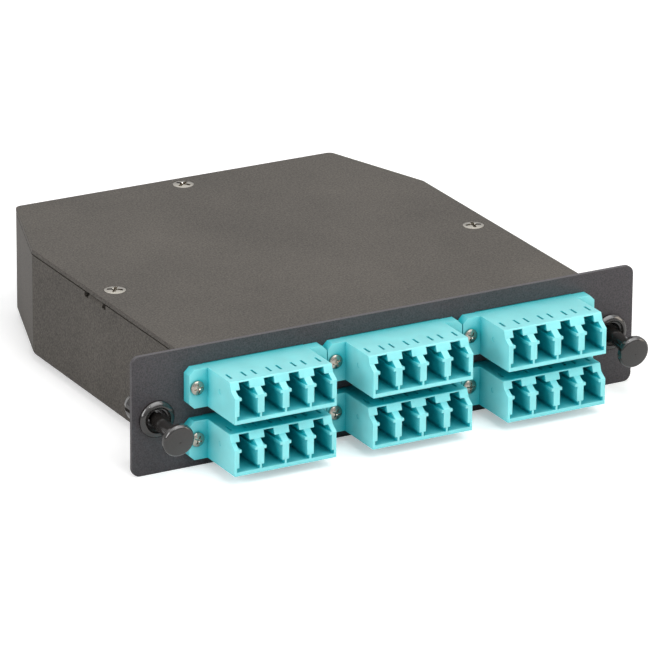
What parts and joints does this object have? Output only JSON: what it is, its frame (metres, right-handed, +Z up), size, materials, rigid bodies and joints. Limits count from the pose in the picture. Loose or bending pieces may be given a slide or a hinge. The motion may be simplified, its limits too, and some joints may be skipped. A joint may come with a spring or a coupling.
{
  "type": "fibre patching cassette",
  "caption": "Flat folded steel box behind a front panel with two rows of LC adapters, push-pull latches at both ends and multi-fibre adapters at the rear.",
  "frame": {"origin": "on the back face of the front panel, midway between the two latches", "axes": "+X to the right along the panel as seen from the front, +Y from the panel to the rear adapters, +Z up from the floor to the lid"},
  "size_m": [0.1296, 0.1327, 0.0285],
  "materials": {
    "housing_paint": "matte powder coat",
    "panel_paint": "matte powder coat",
    "aqua_plastic": "fine satin",
    "white_ceramic": "polished ceramic",
    "pale_plastic": "satin",
    "fibre_jacket": "satin jacket",
    "black_nylon": "semi-gloss nylon",
    "black_plastic": "satin",
    "nickel": "bright nickel",
    "zinc": "zinc plated"
  },
  "bodies": {
    "cassette": {"front_panel": "panel_paint", "housing": "housing_paint", "lid": "housing_paint", "lc_adapter_upper_left": "aqua_plastic", "lc_adapter_upper_middle": "aqua_plastic", "lc_adapter_upper_right": "aqua_plastic", "lc_adapter_lower_left": "aqua_plastic", "lc_adapter_lower_middle": "aqua_plastic", "lc_adapter_lower_right": "aqua_plastic", "adapter_back_upper_left": "aqua_plastic", "sleeve_holders_upper_left": "aqua_plastic", "split_sleeves_upper_left": "white_ceramic", "inner_plugs_upper_left": "pale_plastic", "fibres_upper_left": "fibre_jacket", "adapter_back_upper_middle": "aqua_plastic", "sleeve_holders_upper_middle": "aqua_plastic", "split_sleeves_upper_middle": "white_ceramic", "inner_plugs_upper_middle": "pale_plastic", "fibres_upper_middle": "fibre_jacket", "adapter_back_upper_right": "aqua_plastic", "sleeve_holders_upper_right": "aqua_plastic", "split_sleeves_upper_right": "white_ceramic", "inner_plugs_upper_right": "pale_plastic", "fibres_upper_right": "fibre_jacket", "adapter_back_lower_left": "aqua_plastic", "sleeve_holders_lower_left": "aqua_plastic", "split_sleeves_lower_left": "white_ceramic", "inner_plugs_lower_left": "pale_plastic", "fibres_lower_left": "fibre_jacket", "adapter_back_lower_middle": "aqua_plastic", "sleeve_holders_lower_middle": "aqua_plastic", "split_sleeves_lower_middle": "white_ceramic", "inner_plugs_lower_middle": "pale_plastic", "fibres_lower_middle": "fibre_jacket", "adapter_back_lower_right": "aqua_plastic", "sleeve_holders_lower_right": "aqua_plastic", "split_sleeves_lower_right": "white_ceramic", "inner_plugs_lower_right": "pale_plastic", "fibres_lower_right": "fibre_jacket", "latch_grommet_left": "black_nylon", "trunk_adapter_left": "black_plastic", "trunk_plug_left": "aqua_plastic", "bundle_tube_left": "fibre_jacket", "fanout_block_left": "black_plastic", "fanout_clip_left": "black_plastic", "latch_grommet_right": "black_nylon", "trunk_adapter_right": "black_plastic", "trunk_plug_right": "aqua_plastic", "bundle_tube_right": "fibre_jacket", "fanout_block_right": "black_plastic", "fanout_clip_right": "black_plastic", "lid_screws": "nickel", "adapter_screws": "nickel", "trunk_screws": "zinc", "trunk_nuts": "zinc"},
    "plunger_left": {"latch_plunger_left": "black_nylon"},
    "plunger_right": {"latch_plunger_right": "black_nylon"}
  },
  "joints": [
    {"name": "latch_push_left", "type": "slide", "parent": "cassette", "child": "plunger_left", "axis": [0, 0.9936, 0.1132], "range_m": [0, 0.0065]},
    {"name": "latch_push_right", "type": "slide", "parent": "cassette", "child": "plunger_right", "axis": [0, 0.9936, 0.1132], "range_m": [0, 0.0065]}
  ]
}
